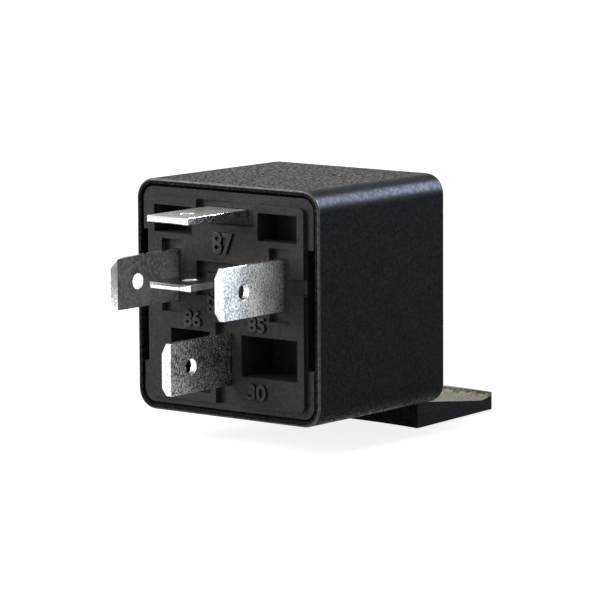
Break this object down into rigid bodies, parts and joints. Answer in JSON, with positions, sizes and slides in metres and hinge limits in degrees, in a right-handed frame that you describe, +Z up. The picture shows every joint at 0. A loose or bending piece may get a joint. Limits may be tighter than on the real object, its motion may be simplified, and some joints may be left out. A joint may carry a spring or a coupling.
{
  "type": "automotive relay",
  "caption": "Plug-in automotive changeover relay: black cubic housing with flat blade terminals and a screw tab, coil and contacts inside.",
  "frame": {"origin": "centre of the tab's screw hole, on the tab's underside", "axes": "+Y into the relay from the blade side, along its longest extent; +Z up through the screw hole, away from the panel; X across the base"},
  "size_m": [0.0282, 0.0537, 0.0316],
  "materials": {
    "cover_plastic": "moulded black polyamide with a fine spark texture",
    "base_plastic": "moulded dark grey glass-filled polyamide",
    "tinned_brass": "stamped brass strip, dull tin plate",
    "plated_steel": "nickel-plated soft iron",
    "bobbin_plastic": "moulded natural polyester",
    "enamelled_wire": "enamelled copper wire",
    "spring_bronze": "rolled phosphor bronze",
    "contact_silver": "silver alloy",
    "rivet_steel": "zinc-plated steel"
  },
  "bodies": {
    "housing": {"cover": "cover_plastic", "base": "base_plastic", "terminal_30": "tinned_brass", "terminal_85": "tinned_brass", "terminal_86": "tinned_brass", "terminal_87": "tinned_brass", "terminal_87a": "tinned_brass", "yoke": "plated_steel", "core": "plated_steel", "bobbin": "bobbin_plastic", "coil_winding": "enamelled_wire", "coil_lead_start": "enamelled_wire", "coil_lead_finish": "enamelled_wire", "fixed_contact_no": "contact_silver", "fixed_contact_nc": "contact_silver", "spring_rivets": "rivet_steel", "terminal_30_rivet": "rivet_steel"},
    "moving_armature": {"armature": "plated_steel", "contact_spring": "spring_bronze", "moving_contact": "contact_silver", "armature_rivets": "rivet_steel"}
  },
  "joints": [
    {"name": "armature_hinge", "type": "hinge", "parent": "housing", "child": "moving_armature", "pos_m": [-0.0002, -0.01584, 0.0055], "axis": [1, 0, 0], "range_deg": [0, 3], "stiffness_Nm_per_rad": 0.076, "springref_deg": -4.58, "deforming": ["contact_spring"]}
  ]
}
